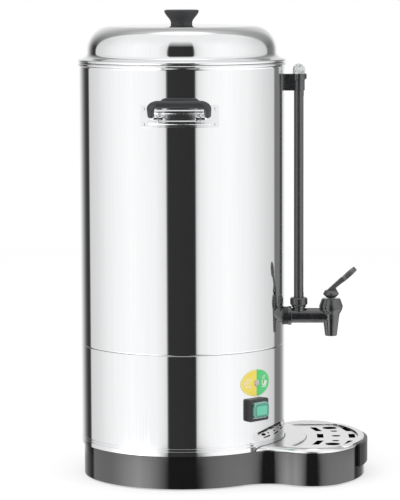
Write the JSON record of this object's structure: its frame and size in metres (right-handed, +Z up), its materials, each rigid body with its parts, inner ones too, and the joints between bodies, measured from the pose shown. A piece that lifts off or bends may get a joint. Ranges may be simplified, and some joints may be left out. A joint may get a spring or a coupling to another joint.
{
  "type": "hot water urn",
  "caption": "Tall cylindrical steel hot water urn on a black base, with lift-off lid, side handles, level gauge, self-closing tap and a drip tray beside it.",
  "frame": {"origin": "on the axis of the round body, at the level of the feet's soles", "axes": "+Z up along the body's axis; +X from the body towards the tap and drip tray; the front handle faces -Y"},
  "size_m": [0.3542, 0.3184, 0.5689],
  "materials": {
    "base_black": "glossy black moulding",
    "plate_steel": "plain sheet",
    "foot_rubber": "matte",
    "screw_steel": "plain",
    "polished_steel": "mirror polished",
    "grate_steel": "satin",
    "tray_black": "satin black",
    "tap_black": "glossy black",
    "grip_black": "satin black",
    "bracket_chrome": "polished",
    "heater_aluminium": "cast",
    "tube_steel": "heat tinted",
    "control_body": "ceramic white and black",
    "wire_insulation": "silicone sleeve",
    "switch_green": "translucent green",
    "boot_clear": "clear green boot",
    "panel_print": "two-colour printed film",
    "lens_clear": "clear",
    "gauge_glass": "clear",
    "seal_silicone": "soft"
  },
  "bodies": {
    "urn": {"base_housing": "base_black", "bottom_plate": "plate_steel", "rubber_feet": "foot_rubber", "base_screws": "screw_steel", "deck_cover": "grate_steel", "lower_shell": "polished_steel", "tank": "polished_steel", "heater_plate": "heater_aluminium", "heating_ring": "tube_steel", "keep_warm_ring": "tube_steel", "thermostat": "control_body", "dry_boil_cutout": "control_body", "tie_stud": "screw_steel", "tie_strap": "plate_steel", "tie_nut": "screw_steel", "terminal_block": "control_body", "wires": "wire_insulation", "cord_gland": "tap_black", "gland_nut": "tap_black", "switch_bezel": "tap_black", "switch_boot": "boot_clear", "indicator_panel": "panel_print", "lamp_lens": "lens_clear", "lamp_body": "control_body", "handle_bracket_front": "bracket_chrome", "handle_bracket_back": "bracket_chrome", "handle_rods_front": "bracket_chrome", "handle_rods_back": "bracket_chrome", "handle_grip_front": "grip_black", "handle_grip_back": "grip_black", "bracket_rivets": "screw_steel", "gauge_guard": "tap_black", "gauge_glass": "gauge_glass", "gauge_seal": "seal_silicone", "gauge_nut": "tap_black", "gauge_bracket": "tap_black", "gauge_screw": "screw_steel", "gauge_cap": "lens_clear", "tap_body": "tap_black", "tap_outer_seal": "foot_rubber", "tap_inner_seal": "seal_silicone", "tap_back_nut": "tap_black", "tap_bonnet": "tap_black", "tap_spring": "screw_steel"},
    "lid": {"lid": "polished_steel", "lid_knob": "grip_black", "knob_screw": "screw_steel"},
    "stem": {"tap_stem": "screw_steel", "tap_seat_cup": "seal_silicone", "lever_pin": "screw_steel"},
    "lever": {"tap_lever": "tap_black"},
    "rocker": {"switch_rocker": "switch_green"},
    "tray": {"drip_tray": "tray_black"},
    "grate": {"drip_grate": "grate_steel"}
  },
  "joints": [
    {"name": "lid_lift", "type": "slide", "parent": "urn", "child": "lid", "axis": [0, 0, 1], "range_m": [0, 0.12]},
    {"name": "lever_pull", "type": "hinge", "parent": "stem", "child": "lever", "pos_m": [0.182, 0, 0.221], "axis": [0, 1, 0], "range_deg": [0, 30], "stiffness_Nm_per_rad": 0.03, "springref_deg": -26.7},
    {"name": "valve_lift", "type": "slide", "parent": "urn", "child": "stem", "axis": [0, 0, 1], "range_m": [0, 0.0045], "deforming": ["tap_spring"]},
    {"name": "rocker_rock", "type": "hinge", "parent": "urn", "child": "rocker", "pos_m": [0.08956, -0.08863, 0.0925], "axis": [0.7034, 0.7108, 0], "range_deg": [0, 12]},
    {"name": "tray_lift", "type": "slide", "parent": "urn", "child": "tray", "axis": [0, 0, 1], "range_m": [0, 0.06]},
    {"name": "grate_lift", "type": "slide", "parent": "tray", "child": "grate", "axis": [0, 0, 1], "range_m": [0, 0.04]}
  ],
  "couplings": [
    {"joint": "valve_lift", "follows": "lever_pull", "m_per_rad": 0.00859}
  ]
}
